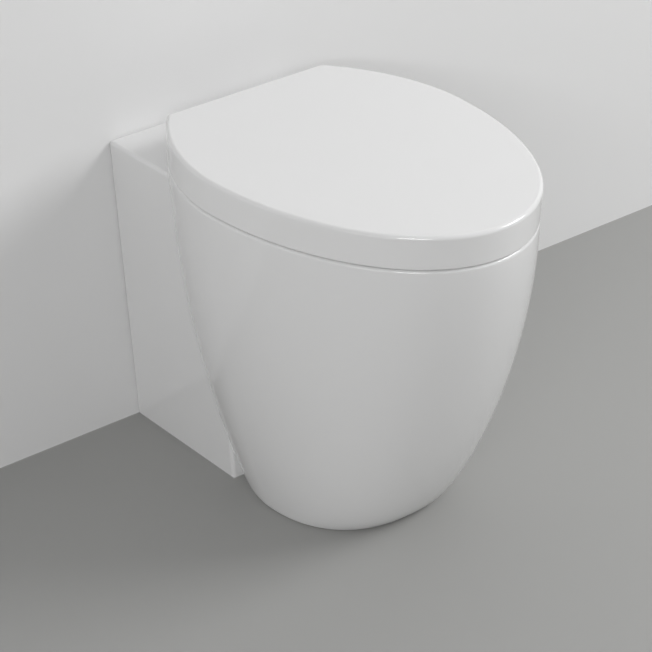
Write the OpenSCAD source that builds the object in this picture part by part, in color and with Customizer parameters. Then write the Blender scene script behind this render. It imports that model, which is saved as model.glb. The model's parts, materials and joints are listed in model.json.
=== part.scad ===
// Back to wall toilet: an egg-shaped pan with a rear block, a seat ring and a wrap-over cover.
// Millimetres. Origin on the floor, under the middle of the plan. The wall is the plane
// y = wall_y, and the front of the cover is as far in front of the origin.

/* [Overall] */
// Depth from the wall to the front tip of the rim
rim_reach = 550; // [520:1:600]
// Width of the pan and the cover at their widest line
pan_w = 370; // [350:1:400]
// Height of the ceramic rim
rim_h = 413; // [395:1:440]

/* [Egg plan] */
// Distance from the wall to the widest line
widest_from_wall = 261; // [245:1:280]
// Roundness of the front half, 2 is an ellipse
front_power = 1.97; // [1.8:0.01:2.2]
// Half length of the rear lobe
rear_reach = 231; // [220:1:240]
// Roundness of the rear half
rear_power = 1.77; // [1.6:0.01:2]
// Distance from the wall to the straight back edge of the seat
seat_back = 92; // [88:1:100]

/* [Egg skirt] */
// Width of the egg where it meets the floor
foot_w = 236; // [210:1:260]
// Distance from the wall to the front of the foot
foot_reach = 400; // [370:1:430]
// Distance from the wall to the widest line of the foot
foot_widest = 278; // [260:1:290]
// Roundness of the front of the foot
foot_power = 2.33; // [1.9:0.01:2.6]
// How early the sides swell out
side_swell = 2.04; // [1.6:0.01:2.5]
// How flat the sides leave the floor
side_lift = 1.04; // [0.9:0.01:1.3]
// How early the front swells out
front_swell = 1.56; // [1.3:0.01:2]
// How flat the front leaves the floor
front_lift = 1.24; // [1:0.01:1.5]

/* [Rear block] */
// Width of the block at its top
block_top_w = 279; // [260:1:300]
// Width of the block at the floor
block_foot_w = 225; // [215:1:250]
// Depth of the block from the wall
block_depth = 202; // [190:1:215]
// Height of the block
block_h = 395; // [375:1:405]

/* [Ceramic] */
// Thickness of the skirt walls
wall_t = 10; // [8:0.5:12]
// Thickness of the rim and of the block's top
deck_t = 14; // [12:0.5:16]
// Radius of the rim's outer edge
rim_edge = 4; // [2:0.5:5]

/* [Bowl] */
// Width of the rim between the skirt and the bowl's mouth
rim_w = 40; // [34:1:44]
// Distance from the wall to the rear of the bowl's mouth
bowl_rear = 176; // [168:1:184]
// Distance from the wall to the widest line of the bowl's mouth
bowl_widest = 300; // [290:1:310]
// Height of the sump's floor
sump_h = 112; // [108:1:120]
// Radius of the sump's floor
sump_r = 33; // [31:0.5:36]
// Thickness of the bowl's wall
bowl_t = 9; // [8:0.5:11]

/* [Trap] */
// Inside radius of the trap
trap_r = 29; // [26:0.5:30]
// Wall of the trap
trap_t = 8; // [7:0.5:9]
// Distance from the wall to the trap's falling leg
trap_fall = 262; // [258:1:268]
// Centre radius of the lower bend
trap_bend = 50; // [47:1:52]
// Centre radius of the upper bend
crown_bend = 45; // [42:1:47]
// Height of the outlet's axis
outlet_h = 180; // [175:1:190]
// Outside radius of the outlet spigot
spigot_r = 51; // [49:0.5:52]
// Length of the outlet spigot
spigot_l = 75; // [70:1:80]
// Distance from the wall to the end of the spigot
spigot_back = 38; // [34:1:42]

/* [Flush inlet] */
// Height of the flush inlet's axis
inlet_h = 330; // [325:1:335]
// Radius of the socket in the ceramic
socket_r = 27.5; // [26:0.5:28]
// Depth of the socket
socket_l = 60; // [50:1:65]
// Distance from the wall to the socket's mouth
socket_back = 22; // [18:1:28]
// Radius of the duct from the socket to the bowl
duct_r = 19; // [16:0.5:21]
// Radius of the flush pipe that the seal takes
flush_pipe_r = 22.5; // [22:0.5:24]

/* [Cover] */
// Height of the cover
cover_h = 40; // [36:1:44]
// Gap between the rim and the cover's lower edge
seat_gap = 3; // [2.5:0.5:4]
// Thickness of the cover's top
cover_t = 6.5; // [5:0.5:8]
// Thickness of the cover's skirt
skirt_t = 6; // [5:0.5:7]
// How far the cover's front flares out over its height
cover_flare = 6; // [3:0.5:9]
// Radius of the cover's upper edge
cover_edge = 5; // [3:0.5:5]

/* [Seat ring] */
// Gap between the cover's skirt and the ring
ring_gap = 3; // [2.5:0.5:4]
// Height of the ring above the rim
ring_lift = 4.5; // [4:0.5:5.5]
// Thickness of the ring
ring_t = 24; // [20:0.5:24.5]
// Width of the ring's sides
ring_w = 66; // [60:1:72]
// Width of the ring's front
ring_front_w = 72; // [66:1:80]
// Distance from the wall to the rear of the ring's aperture
ring_hole_rear = 186; // [180:1:194]
// Wall of the ring's moulding
ring_wall = 6; // [4:0.5:8]
// Distance of the buffers from the outline of the rim
buffer_inset = 24; // [22:1:27]
// Radius of a buffer
buffer_r = 7; // [5:0.5:8]

/* [Hinge] */
// Distance between the centres of the two hinges
hinge_span = 155; // [150:1:160]
// Distance of the hinge axis behind the cover's back edge
hinge_behind = 11; // [10.5:0.25:12]
// Height of the hinge axis above the rim
hinge_lift = 18; // [17:0.5:19]
// Width of a post
post_w = 14; // [12:0.5:15]
// Depth of a post
post_d = 12; // [10:0.5:12]
// Width of a knuckle
knuckle_w = 12; // [10:0.5:13]
// Radius of a knuckle
knuckle_r = 7.5; // [7:0.25:8]
// Radius of a hinge pin
pin_r = 3.5; // [3:0.25:4]
// Wall of a hinge bush
bush_t = 1.5; // [1:0.25:1.75]
// Length of a damper cartridge
damper_l = 27; // [22:1:32]
// Radius of a damper cartridge
damper_r = 6.5; // [6:0.25:6.75]
// Radius of the barrel round a damper
barrel_r = 8.5; // [8:0.25:9]

/* [Seat fixings] */
// Thickness of a hinge base plate
base_t = 4.5; // [4:0.5:5]
// Width of a hinge base plate
base_w = 26; // [24:1:28]
// Radius of a base plate's corners
base_corner = 8; // [4:0.5:10]
// Distance of the fixing bolt behind the hinge axis
bolt_behind = 15; // [14.5:0.5:16]
// Radius of a fixing bolt
bolt_r = 4; // [3:0.5:4]
// Radius of the hole in the ceramic for a fixing
fixing_hole_r = 8; // [7.5:0.25:9]

/* [Floor fixings] */
// Height of the ceramic shelf that is clamped down
shelf_h = 60; // [55:1:65]
// Thickness of the ceramic shelf
shelf_t = 12; // [10:1:14]
// Thickness of the bracket's steel
bracket_t = 4; // [3:0.5:5]
// Length of the bracket's foot
bracket_l = 62; // [58:1:70]
// Width of the bracket
bracket_w = 38; // [34:1:40]
// Distance between the two screw holes of a bracket
screw_span = 44; // [40:1:48]
// Radius of the screw holes
screw_hole_r = 3.5; // [3:0.25:4]
// Radius of a clamp bolt
clamp_r = 4; // [3:0.5:4]
// Thickness of the rubber pad between bracket and shelf
pad_t = 5; // [3:0.5:6]

/* [Hidden] */

// Clearances: running is round a pin, seated is under a buffer or a pad, swing is beside the path of a
// turning edge, past is how far a cut overshoots
running = 0.05;
seated = 0.3;
swing = 7;
past = 1;
tiny = 0.01;

// Steps round the egg's front and rear lobes, and up its side
front_steps = 15;
rear_steps = 9;
rise_steps = 12;
rear_stop = 76;
round_fn = 48;

// Heights shared by several pieces
plan_h = rim_h + seat_gap / 2;
cover_z = rim_h + seat_gap;
cover_top = cover_z + cover_h;
cover_under = cover_top - cover_t;
ring_z = rim_h + ring_lift;
ring_top = ring_z + ring_t;
base_z = block_h + base_t;
hinge_z = rim_h + hinge_lift;

// Places shared by several pieces, all written for the right-hand side
wall_y = (rim_reach + cover_flare) / 2;
seat_back_y = wall_y - seat_back;
hinge_y = seat_back_y + hinge_behind;
bolt_y = hinge_y + bolt_behind;
hinge_x = hinge_span / 2;
side_gap = 0.5;
ring_knuckle_out = hinge_x - post_w / 2 - side_gap;
ring_knuckle_in = ring_knuckle_out - knuckle_w;
cover_knuckle_in = hinge_x + post_w / 2 + side_gap;
cover_knuckle_out = cover_knuckle_in + knuckle_w;
damper_out = ring_knuckle_in - side_gap;
damper_in = damper_out - damper_l;
pin_in = (damper_in + damper_out) / 2;
bush_r = pin_r + running + bush_t;
block_lean = (block_top_w - block_foot_w) / 2 / block_h;

// How much further in the ring's back edge is than its sides, so that the cover turns clear of it
cover_swing = norm([hinge_behind + skirt_t, hinge_z - cover_z]);
ring_back = cover_swing + swing - hinge_behind - skirt_t - ring_gap;

// Buffers: angles round the front and rear lobes
ring_buffer_at = [38, 52];
cover_buffer_at = [46, 62];
boss_r = buffer_r + 2;

// Seat fixings under the block's top
base_front = 9;
base_margin = 1;
base_l = base_front + bolt_behind + bolt_r * 2 + base_margin;
washer_t = 1.2;
head_h = 2;
sleeve_bulb_top = block_h - deck_t - seated;
sleeve_bulb_h = 18;
nut_top = sleeve_bulb_top - sleeve_bulb_h;
nut_h = 7;

// Outlet connector
seal_t = 3.5;
seal_l = 25;
seal_step = 8;
mouth_step = 6;
connector_wall = 3;
connector_r = spigot_r + 4;
shoulder_y = wall_y - spigot_back + 2;

// Floor clamps
bracket_top = shelf_h - pad_t;
clamp_hole_r = clamp_r + 1;
clamp_head_h = 6;
clamp_low = shelf_h + shelf_t + seated;
clamp_wall_gap = 6;
clamp_x = block_foot_w / 2 - wall_t - clamp_wall_gap - bracket_w / 2;

// ---- Sides and round bars ----

// Draws its children, written for the right, on the side s: 1 is right and -1 is left
module sided(s) {
    mirror([s < 0 ? 1 : 0, 0, 0]) children();
}

module both_sides() {
    sided(1) children();
    sided(-1) children();
}

module along_x(r, x0, x1, y, z) {
    translate([x0, y, z]) rotate([0, 90, 0]) cylinder(r = r, h = x1 - x0, $fn = round_fn);
}

module along_y(r, y0, y1, x, z) {
    translate([x, y0, z]) rotate([-90, 0, 0]) cylinder(r = r, h = y1 - y0, $fn = round_fn);
}

module along_z(r, z0, z1, x, y) {
    translate([x, y, z0]) cylinder(r = r, h = z1 - z0, $fn = round_fn);
}

module hinge_bar(r, x0, x1) {
    along_x(r, x0, x1, hinge_y, hinge_z);
}

module fixing_bar(r, z0, z1) {
    along_z(r, z0, z1, hinge_x, bolt_y);
}

module clamp_bar(r, z0, z1) {
    along_z(r, z0, z1, clamp_x, bolt_y);
}

// ---- Egg outlines and lofts ----

// A point on a quarter of a superellipse; angle 0 is its far end and 90 its side
function lobe(side, reach, power, angle) =
    [side * pow(sin(angle), 2 / power), reach * pow(cos(angle), 2 / power)];

// The angle at which a rear lobe meets a straight edge, cut behind the widest line
function rear_end(reach, power, cut) = min(rear_stop, asin(pow(min(1, cut / reach), power / 2)));

// Right half of an egg, from its front tip to its back corner
function egg_half(side, front, rear, front_p, rear_p, mid_y, cut) = concat(
    [for (i = [0:front_steps - 1])
        let (p = lobe(side, front, front_p, 90 * i / front_steps)) [p[0], mid_y - p[1]]],
    [for (i = [0:rear_steps])
        let (p = lobe(side, rear, rear_p, 90 - rear_end(rear, rear_p, cut) * i / rear_steps))
        [p[0], mid_y + p[1]]]);

function egg(side, front, rear, front_p, rear_p, mid_y, cut) =
    let (half = egg_half(side, front, rear, front_p, rear_p, mid_y, cut))
    concat(half, [for (i = [len(half) - 1:-1:1]) [-half[i][0], half[i][1]]]);

// Plan of the rim, the cover and the ring, drawn in by inset, its front flared out by flare and its
// back edge drawn in further by back
function seat_plan(inset, flare = 0, back = 0) = egg(
    pan_w / 2 - inset, rim_reach - widest_from_wall - inset + flare, rear_reach - inset,
    front_power, rear_power, wall_y - widest_from_wall, widest_from_wall - seat_back - inset - back);

// Rises from 0 to 1, early and then level
function swell(u, early, lift) = pow(1 - pow(1 - u, early), 1 / lift);

// Outline of the egg skirt at height z, drawn in by inset
function skirt_plan(z, inset) = let (
    u = max(0, min(1, z / plan_h)),
    side = foot_w / 2 + (pan_w - foot_w) / 2 * swell(u, side_swell, side_lift),
    reach = foot_reach + (rim_reach - foot_reach) * swell(u, front_swell, front_lift),
    mid = foot_widest + (widest_from_wall - foot_widest) * u,
    front_p = foot_power + (front_power - foot_power) * u)
    egg(side - inset, reach - mid - inset, rear_reach * side * 2 / pan_w - inset, front_p,
        rear_power, wall_y - mid, mid - seat_back - inset);

// Outline of the bowl at height z, grown by grow
function bowl_plan(z, grow) = let (
    u = max(0, min(1, (z - sump_h) / (rim_h - sump_h))),
    side = sump_r + (pan_w / 2 - rim_w - sump_r) * swell(u, 2.6, 1.5),
    front = sump_r + (rim_reach - rim_w - bowl_widest - sump_r) * swell(u, 2.2, 1.4),
    rear = sump_r + (bowl_widest - bowl_rear - sump_r) * swell(u, 2, 1.3),
    mid = trap_fall + (bowl_widest - trap_fall) * u)
    egg(side + grow, front + grow, rear + grow, 2, 2, wall_y - mid, rear + grow);

// Aperture of the seat ring, grown by grow
function ring_hole(grow) = let (
    inset = skirt_t + ring_gap - grow,
    rear = bowl_widest - ring_hole_rear + grow)
    egg(pan_w / 2 - inset - ring_w, rim_reach - bowl_widest - inset - ring_front_w, rear, 2, 2,
        wall_y - bowl_widest, rear);

// A front and a rear place on the middle of the rim's right side, at two angles
function buffer_places(at) = let (
    side = pan_w / 2 - buffer_inset,
    front = lobe(side, rim_reach - widest_from_wall - buffer_inset, front_power, at[0]),
    rear = lobe(side, rear_reach - buffer_inset, rear_power, at[1]),
    mid_y = wall_y - widest_from_wall)
    [[front[0], mid_y - front[1]], [rear[0], mid_y + rear[1]]];

function at_height(plan, z) = [for (p = plan) [p[0], p[1], z]];

// Skin over outlines that lie one above the other, closed at both ends
module loft(rings) {
    k = len(rings[0]);
    top = (len(rings) - 1) * k;
    polyhedron(
        points = [for (ring = rings) for (p = ring) p],
        faces = concat(
            [[for (i = [0:k - 1]) i]],
            [[for (i = [k - 1:-1:0]) top + i]],
            [for (r = [0:len(rings) - 2]) for (i = [0:k - 1])
                let (a = r * k + i, b = r * k + (i + 1) % k) [a, a + k, b + k]],
            [for (r = [0:len(rings) - 2]) for (i = [0:k - 1])
                let (a = r * k + i, b = r * k + (i + 1) % k) [a, b + k, b]]));
}

// Upright seat_plan(inset, flare, back) whose upper edge is rounded by edge, and which flares as it rises
module rounded_slab(inset, z0, z1, edge, flare, back) {
    loft(concat(
        [at_height(seat_plan(inset, 0, back), z0)],
        [for (a = [0:30:90])
            let (z = z1 - edge * (1 - sin(a)))
            at_height(seat_plan(inset + edge * (1 - cos(a)), flare * (z - z0) / (z1 - z0), back), z)]));
}

// ---- Pan ----

module skirt_outer() {
    straight = rim_h - rim_edge;
    loft(concat(
        [for (i = [0:rise_steps])
            let (z = straight * i / rise_steps) at_height(skirt_plan(z, 0), z)],
        [for (a = [45:45:90])
            let (z = straight + rim_edge * sin(a)) at_height(skirt_plan(z, rim_edge * (1 - cos(a))), z)]));
}

module skirt_inner() {
    top = rim_h - deck_t;
    loft(concat(
        [at_height(skirt_plan(0, wall_t), -past)],
        [for (i = [1:rise_steps])
            let (z = top * i / rise_steps) at_height(skirt_plan(z, wall_t), z)]));
}

module bowl_loft(grow, low, top) {
    loft([for (i = [0:rise_steps])
        let (z = low + (top - low) * pow(i / rise_steps, 1.5)) at_height(bowl_plan(z, grow), z)]);
}

// Rear block, narrower at the floor than at the top
module block_solid(inset, depth, z0, z1) {
    low = block_foot_w / 2 - inset + block_lean * z0;
    high = block_foot_w / 2 - inset + block_lean * z1;
    translate([0, wall_y, 0]) rotate([90, 0, 0])
        linear_extrude(depth) polygon([[-low, z0], [low, z0], [high, z1], [-high, z1]]);
}

// Bend of radius bend round the line x = 0, y = y, z = z, from angle turn
module trap_elbow(r, bend, y, z, turn, sweep) {
    translate([0, y, z]) rotate([90, 0, 90]) rotate([0, 0, turn])
        rotate_extrude(angle = sweep, $fn = 2 * round_fn)
        translate([bend, 0]) circle(r = r, $fn = round_fn);
}

// Trap at radius r: falling leg, lower bend, rising leg, crown and outlet leg
module trap_path(r) {
    fall_y = wall_y - trap_fall;
    rise_y = fall_y + 2 * trap_bend;
    bend_z = sump_h - 2;
    crown_z = outlet_h - crown_bend;
    along_z(r, bend_z, sump_h + 6, 0, fall_y);
    trap_elbow(r, trap_bend, fall_y + trap_bend, bend_z, 180, 180);
    along_z(r, bend_z, crown_z, 0, rise_y);
    trap_elbow(r, crown_bend, rise_y + crown_bend, crown_z, 90, 90);
    along_y(r, rise_y + crown_bend, wall_y - spigot_back - spigot_l + past, 0, outlet_h);
}

// Ceramic shelf on the inside of the block's side wall, above a floor bracket
module clamp_shelf() {
    width = 32;
    inner = clamp_x - width / 2;
    outer = block_foot_w / 2 + block_lean * shelf_h - wall_t / 2;
    translate([inner, bolt_y - width / 2, shelf_h]) cube([outer - inner, width, shelf_t]);
}

module pan_shell() {
    difference() {
        union() {
            skirt_outer();
            block_solid(0, block_depth, 0, block_h);
        }
        skirt_inner();
        translate([0, past, 0])
            block_solid(wall_t, block_depth + past - wall_t, -past, block_h - deck_t);
    }
}

module pan() {
    spigot_y = wall_y - spigot_back - spigot_l;
    socket_y = wall_y - socket_back - socket_l;
    color("white") difference() {
        union() {
            pan_shell();
            bowl_loft(bowl_t, sump_h - bowl_t, rim_h - past);
            trap_path(trap_r + trap_t);
            along_y(spigot_r, spigot_y, wall_y - spigot_back, 0, outlet_h);
            along_y(socket_r + bowl_t, wall_y - bowl_rear, wall_y - socket_back, 0, inlet_h);
            both_sides() clamp_shelf();
        }
        bowl_loft(0, sump_h, rim_h + past);
        trap_path(trap_r);
        along_y(spigot_r - trap_t, spigot_y + trap_t, wall_y - spigot_back + past, 0, outlet_h);
        along_y(socket_r, socket_y, wall_y - socket_back + past, 0, inlet_h);
        along_y(duct_r, wall_y - bowl_widest, socket_y + past, 0, inlet_h);
        both_sides() fixing_bar(fixing_hole_r, block_h - deck_t - past, block_h + past);
        both_sides() clamp_bar(clamp_hole_r, shelf_h - past, shelf_h + shelf_t + past);
    }
}

// ---- Cover and seat ring ----

// Arm from y to the hinge axis
module hinge_arm(x0, x1, y, z0, z1) {
    translate([x0, y, z0]) cube([x1 - x0, hinge_y - y, z1 - z0]);
}

module cover_shell() {
    difference() {
        rounded_slab(0, cover_z, cover_top, cover_edge, cover_flare, 0);
        translate([0, 0, cover_z - past])
            linear_extrude(cover_h - cover_t + past) polygon(seat_plan(skirt_t));
    }
}

// Notch in the cover's back wall, through which an arm of the ring passes
module ring_arm_notch() {
    side = 1.5;
    translate([ring_knuckle_in - side, seat_back_y - skirt_t - past, cover_z - past])
        cube([knuckle_w + 2 * side, skirt_t + 2 * past, hinge_z - cover_z + past]);
}

module cover() {
    arm_y = seat_back_y - skirt_t / 2;
    color("white") difference() {
        union() {
            cover_shell();
            both_sides() {
                hinge_bar(knuckle_r, cover_knuckle_in, cover_knuckle_out);
                hinge_arm(cover_knuckle_in, cover_knuckle_out, arm_y, hinge_z, hinge_z + knuckle_r);
            }
            hinge_bar(barrel_r, damper_in, damper_out);
            hinge_arm(damper_in, damper_out, arm_y, hinge_z, hinge_z + barrel_r);
        }
        both_sides() {
            ring_arm_notch();
            hinge_bar(bush_r + running, cover_knuckle_in - past, cover_knuckle_out + past);
        }
        hinge_bar(damper_r + running, damper_in - past, damper_out + past);
    }
}

module ring_shell() {
    inset = skirt_t + ring_gap;
    edge = 6;
    difference() {
        rounded_slab(inset, ring_z, ring_top, edge, 0, ring_back);
        translate([0, 0, ring_z - past]) linear_extrude(ring_t - ring_wall + past) difference() {
            polygon(seat_plan(inset + ring_wall, 0, ring_back));
            polygon(ring_hole(ring_wall));
        }
        translate([0, 0, ring_z - past]) linear_extrude(ring_t + 2 * past) polygon(ring_hole(0));
    }
}

module seat_ring() {
    arm_z = ring_z + 2;
    arm_t = 9;
    arm_y = seat_back_y - skirt_t - ring_gap - ring_back - ring_wall / 2;
    color("white") difference() {
        union() {
            ring_shell();
            both_sides() {
                for (p = buffer_places(ring_buffer_at))
                    along_z(boss_r, ring_z, ring_top - ring_wall / 2, p[0], p[1]);
                hinge_bar(knuckle_r, ring_knuckle_in, ring_knuckle_out);
                hinge_arm(ring_knuckle_in, ring_knuckle_out, arm_y, arm_z, arm_z + arm_t);
            }
            sided(-1) {
                hinge_bar(barrel_r, damper_in, damper_out);
                hinge_bar(knuckle_r, damper_out - tiny, ring_knuckle_in + tiny);
            }
        }
        both_sides() hinge_bar(bush_r + running, ring_knuckle_in - past, ring_knuckle_out + past);
        sided(-1) hinge_bar(damper_r + running, damper_in - past, damper_out + tiny);
    }
}

// ---- Hinges ----

module hinge_base(s) {
    color("silver") sided(s) difference() {
        translate([hinge_x, hinge_y - base_front + base_l / 2, block_h]) linear_extrude(base_t)
            offset(r = base_corner, $fn = round_fn)
                square([base_w - base_corner * 2, base_l - base_corner * 2], center = true);
        fixing_bar(bolt_r + 0.5, block_h - past, base_z + past);
    }
}

module hinge_post(s) {
    left = hinge_x - post_w / 2;
    color("silver") sided(s) difference() {
        union() {
            translate([left, hinge_y - post_d / 2, base_z]) cube([post_w, post_d, hinge_z - base_z]);
            hinge_bar(post_d / 2, left, left + post_w);
        }
        hinge_bar(pin_r + running, left - past, left + post_w + past);
    }
}

module hinge_pin(s) {
    color("gray") sided(s) hinge_bar(pin_r, pin_in, cover_knuckle_out);
}

module hinge_bush(x0, x1) {
    color("ivory") difference() {
        hinge_bar(bush_r, x0, x1);
        hinge_bar(pin_r + running, x0 - past, x1 + past);
    }
}

module ring_hinge_bushes() {
    both_sides() hinge_bush(ring_knuckle_in, ring_knuckle_out);
}

module cover_hinge_bushes() {
    both_sides() hinge_bush(cover_knuckle_in, cover_knuckle_out);
}

// Rotary damper: a sealed cartridge with a socket for the end of the hinge pin
module damper(s) {
    color("dimgray") sided(s) difference() {
        hinge_bar(damper_r, damper_in, damper_out);
        hinge_bar(pin_r + running, pin_in - seated, damper_out + past);
    }
}

// ---- Seat fixings through the block's top ----

module fixing_bolt(s) {
    head_z = base_z + washer_t;
    thread_out = 4;
    color("silver") sided(s) {
        fixing_bar(bolt_r, nut_top - nut_h - thread_out, head_z + head_h);
        fixing_bar(bolt_r * 1.75, head_z, head_z + head_h);
    }
}

// Rubber sleeve that swells under the ceramic when its nut is drawn up
module fixing_sleeve(s) {
    bulb = 2.5;
    color("dimgray") sided(s) difference() {
        union() {
            fixing_bar(fixing_hole_r - seated, nut_top, block_h - seated);
            fixing_bar(fixing_hole_r + bulb, nut_top, sleeve_bulb_top);
        }
        fixing_bar(bolt_r + running, nut_top - past, block_h + past);
    }
}

module fixing_nuts() {
    color("goldenrod") both_sides() difference() {
        translate([hinge_x, bolt_y, nut_top - nut_h]) cylinder(r = bolt_r * 1.9, h = nut_h, $fn = 6);
        fixing_bar(bolt_r + running, nut_top - nut_h - past, nut_top + past);
    }
}

module fixing_washers() {
    color("silver") both_sides() difference() {
        fixing_bar(bolt_r * 2, base_z, base_z + washer_t);
        fixing_bar(bolt_r + running, base_z - past, base_z + washer_t + past);
    }
}

// ---- Buffers ----

module ring_buffers() {
    color("white") both_sides() for (p = buffer_places(ring_buffer_at))
        along_z(buffer_r, rim_h + seated, ring_z, p[0], p[1]);
}

module cover_buffers() {
    color("white") both_sides() for (p = buffer_places(cover_buffer_at))
        along_z(buffer_r, ring_top + seated, cover_under, p[0], p[1]);
}

// ---- Water connections in the rear block ----

// Rubber sleeve in the socket: its outer end is a free fit on the pipe, and its inner end grips it
module flush_inlet_seal() {
    mouth = wall_y - socket_back;
    inside = socket_l * 0.7;
    end_y = wall_y - 2;
    lip_t = 3;
    lip_r = socket_r + bowl_t - 2;
    grip = 1;
    color("dimgray") difference() {
        union() {
            along_y(socket_r - running, mouth - inside, end_y, 0, inlet_h);
            along_y(lip_r, mouth + seated, mouth + lip_t, 0, inlet_h);
        }
        along_y(flush_pipe_r, mouth + lip_t - past, end_y + past, 0, inlet_h);
        along_y(flush_pipe_r - grip, mouth - inside - past, mouth + lip_t, 0, inlet_h);
    }
}

module outlet_seal() {
    front = shoulder_y - seal_l - seal_step;
    color("dimgray") difference() {
        along_y(spigot_r + seal_t, front, front + seal_l, 0, outlet_h);
        along_y(spigot_r + running, front - past, front + seal_l + past, 0, outlet_h);
    }
}

module outlet_connector() {
    socket_in = spigot_r + seal_t + running;
    front = shoulder_y - seal_l - seal_step - mouth_step;
    color("whitesmoke") difference() {
        union() {
            along_y(socket_in + connector_wall, front, shoulder_y + connector_wall, 0, outlet_h);
            along_y(connector_r, shoulder_y, wall_y, 0, outlet_h);
        }
        along_y(socket_in, front - past, shoulder_y, 0, outlet_h);
        along_y(connector_r - connector_wall, front, wall_y + past, 0, outlet_h);
    }
}

// ---- Floor fixings ----

// Foot, upright and tab of bent steel, with a nut under the tab
module floor_bracket(s) {
    tab_w = 24;
    nut_r = clamp_r + 4;
    nut_l = 10;
    left = clamp_x - bracket_w / 2;
    color("silver") sided(s) difference() {
        union() {
            translate([left, bolt_y - bracket_l / 2, 0]) cube([bracket_w, bracket_l, bracket_t]);
            translate([left, bolt_y - tab_w / 2, 0]) cube([bracket_t, tab_w, bracket_top]);
            translate([left, bolt_y - tab_w / 2, bracket_top - bracket_t])
                cube([bracket_w / 2 + nut_r, tab_w, bracket_t]);
            clamp_bar(nut_r, bracket_top - bracket_t - nut_l, bracket_top - bracket_t / 2);
        }
        clamp_bar(clamp_r + running, bracket_top - bracket_t - nut_l - past, bracket_top + past);
        for (e = [-1, 1])
            along_z(screw_hole_r, -past, bracket_t + past, clamp_x, bolt_y + e * screw_span / 2);
    }
}

module clamp_bolts() {
    head_z = clamp_low + washer_t;
    tip = 16;
    color("silver") both_sides() {
        clamp_bar(clamp_r, bracket_top - bracket_t - tip, head_z + clamp_head_h);
        clamp_bar(clamp_r * 1.7, head_z, head_z + clamp_head_h);
    }
}

module clamp_washers() {
    color("silver") both_sides() difference() {
        clamp_bar(clamp_r * 2.3, clamp_low, clamp_low + washer_t);
        clamp_bar(clamp_r + running, clamp_low - past, clamp_low + washer_t + past);
    }
}

module clamp_pads() {
    color("dimgray") both_sides() difference() {
        clamp_bar(clamp_r * 2.3, bracket_top, shelf_h - seated);
        clamp_bar(clamp_r + seated, bracket_top - past, shelf_h + past);
    }
}

pan();
seat_ring();
cover();
hinge_base(-1);  // hinge_base_left
hinge_base(1);  // hinge_base_right
hinge_post(-1);  // hinge_post_left
hinge_post(1);  // hinge_post_right
hinge_pin(-1);  // hinge_pin_left
hinge_pin(1);  // hinge_pin_right
ring_hinge_bushes();
cover_hinge_bushes();
damper(-1);  // ring_damper
damper(1);  // cover_damper
fixing_bolt(-1);  // fixing_bolt_left
fixing_bolt(1);  // fixing_bolt_right
fixing_sleeve(-1);  // fixing_sleeve_left
fixing_sleeve(1);  // fixing_sleeve_right
fixing_nuts();
fixing_washers();
ring_buffers();
cover_buffers();
flush_inlet_seal();
outlet_connector();
outlet_seal();
floor_bracket(-1);  // floor_bracket_left
floor_bracket(1);  // floor_bracket_right
clamp_bolts();
clamp_washers();
clamp_pads();
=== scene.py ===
"""Looks of the back to wall toilet: a smooth glazed pan, a gloss seat ring and cover, and finished fittings.

Sizes are in millimetres, and those that the solids have too are the same there; every mesh is built in
metres. The origin is on the floor under the middle of the plan, and the wall is the plane y = WALL_Y.
"""
import json
import math

import bmesh
import bpy
import numpy as np
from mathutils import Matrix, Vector
from mathutils.bvhtree import BVHTree


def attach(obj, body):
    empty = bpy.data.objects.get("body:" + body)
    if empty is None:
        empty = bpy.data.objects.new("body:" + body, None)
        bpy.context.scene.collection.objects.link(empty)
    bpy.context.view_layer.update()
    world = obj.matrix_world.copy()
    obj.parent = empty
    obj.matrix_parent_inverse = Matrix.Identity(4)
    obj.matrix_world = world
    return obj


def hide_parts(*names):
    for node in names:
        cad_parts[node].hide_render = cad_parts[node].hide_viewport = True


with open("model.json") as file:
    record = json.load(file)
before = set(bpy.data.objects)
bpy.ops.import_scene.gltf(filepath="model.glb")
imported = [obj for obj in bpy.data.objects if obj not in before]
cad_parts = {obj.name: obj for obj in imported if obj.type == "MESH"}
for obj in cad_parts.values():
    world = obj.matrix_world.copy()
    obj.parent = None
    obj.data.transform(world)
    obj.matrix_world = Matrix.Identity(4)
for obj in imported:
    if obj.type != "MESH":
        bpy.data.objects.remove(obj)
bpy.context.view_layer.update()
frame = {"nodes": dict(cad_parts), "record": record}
MM = 0.001

# ---- Sizes shared with the solids ----

RIM_REACH, PAN_W, RIM_H = 550, 370, 413
WIDEST, FRONT_POWER, REAR_REACH, REAR_POWER, SEAT_BACK = 261, 1.97, 231, 1.77, 92
FOOT_W, FOOT_REACH, FOOT_WIDEST, FOOT_POWER = 236, 400, 278, 2.33
SIDE_SWELL, SIDE_LIFT, FRONT_SWELL, FRONT_LIFT = 2.04, 1.04, 1.56, 1.24
BLOCK_TOP_W, BLOCK_FOOT_W, BLOCK_DEPTH, BLOCK_H = 279, 225, 202, 395
WALL_T, DECK_T, RIM_EDGE = 10, 14, 4
RIM_W, BOWL_REAR, BOWL_WIDEST, SUMP_H, SUMP_R, BOWL_T = 40, 176, 300, 112, 33, 9
TRAP_R, TRAP_T, TRAP_FALL, TRAP_BEND, CROWN_BEND = 29, 8, 262, 50, 45
OUTLET_H, SPIGOT_R, SPIGOT_L, SPIGOT_BACK = 180, 51, 75, 38
INLET_H, SOCKET_R, SOCKET_L, SOCKET_BACK, DUCT_R = 330, 27.5, 60, 22, 19
COVER_H, SEAT_GAP, COVER_T, SKIRT_T, COVER_FLARE, COVER_EDGE = 40, 3, 6.5, 6, 6, 5
RING_GAP, RING_LIFT, RING_T, RING_W, RING_FRONT_W, RING_HOLE_REAR, RING_WALL = 3, 4.5, 24, 66, 72, 186, 6
HINGE_X, HINGE_BEHIND, HINGE_LIFT, POST_W = 77.5, 11, 18, 14
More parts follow.
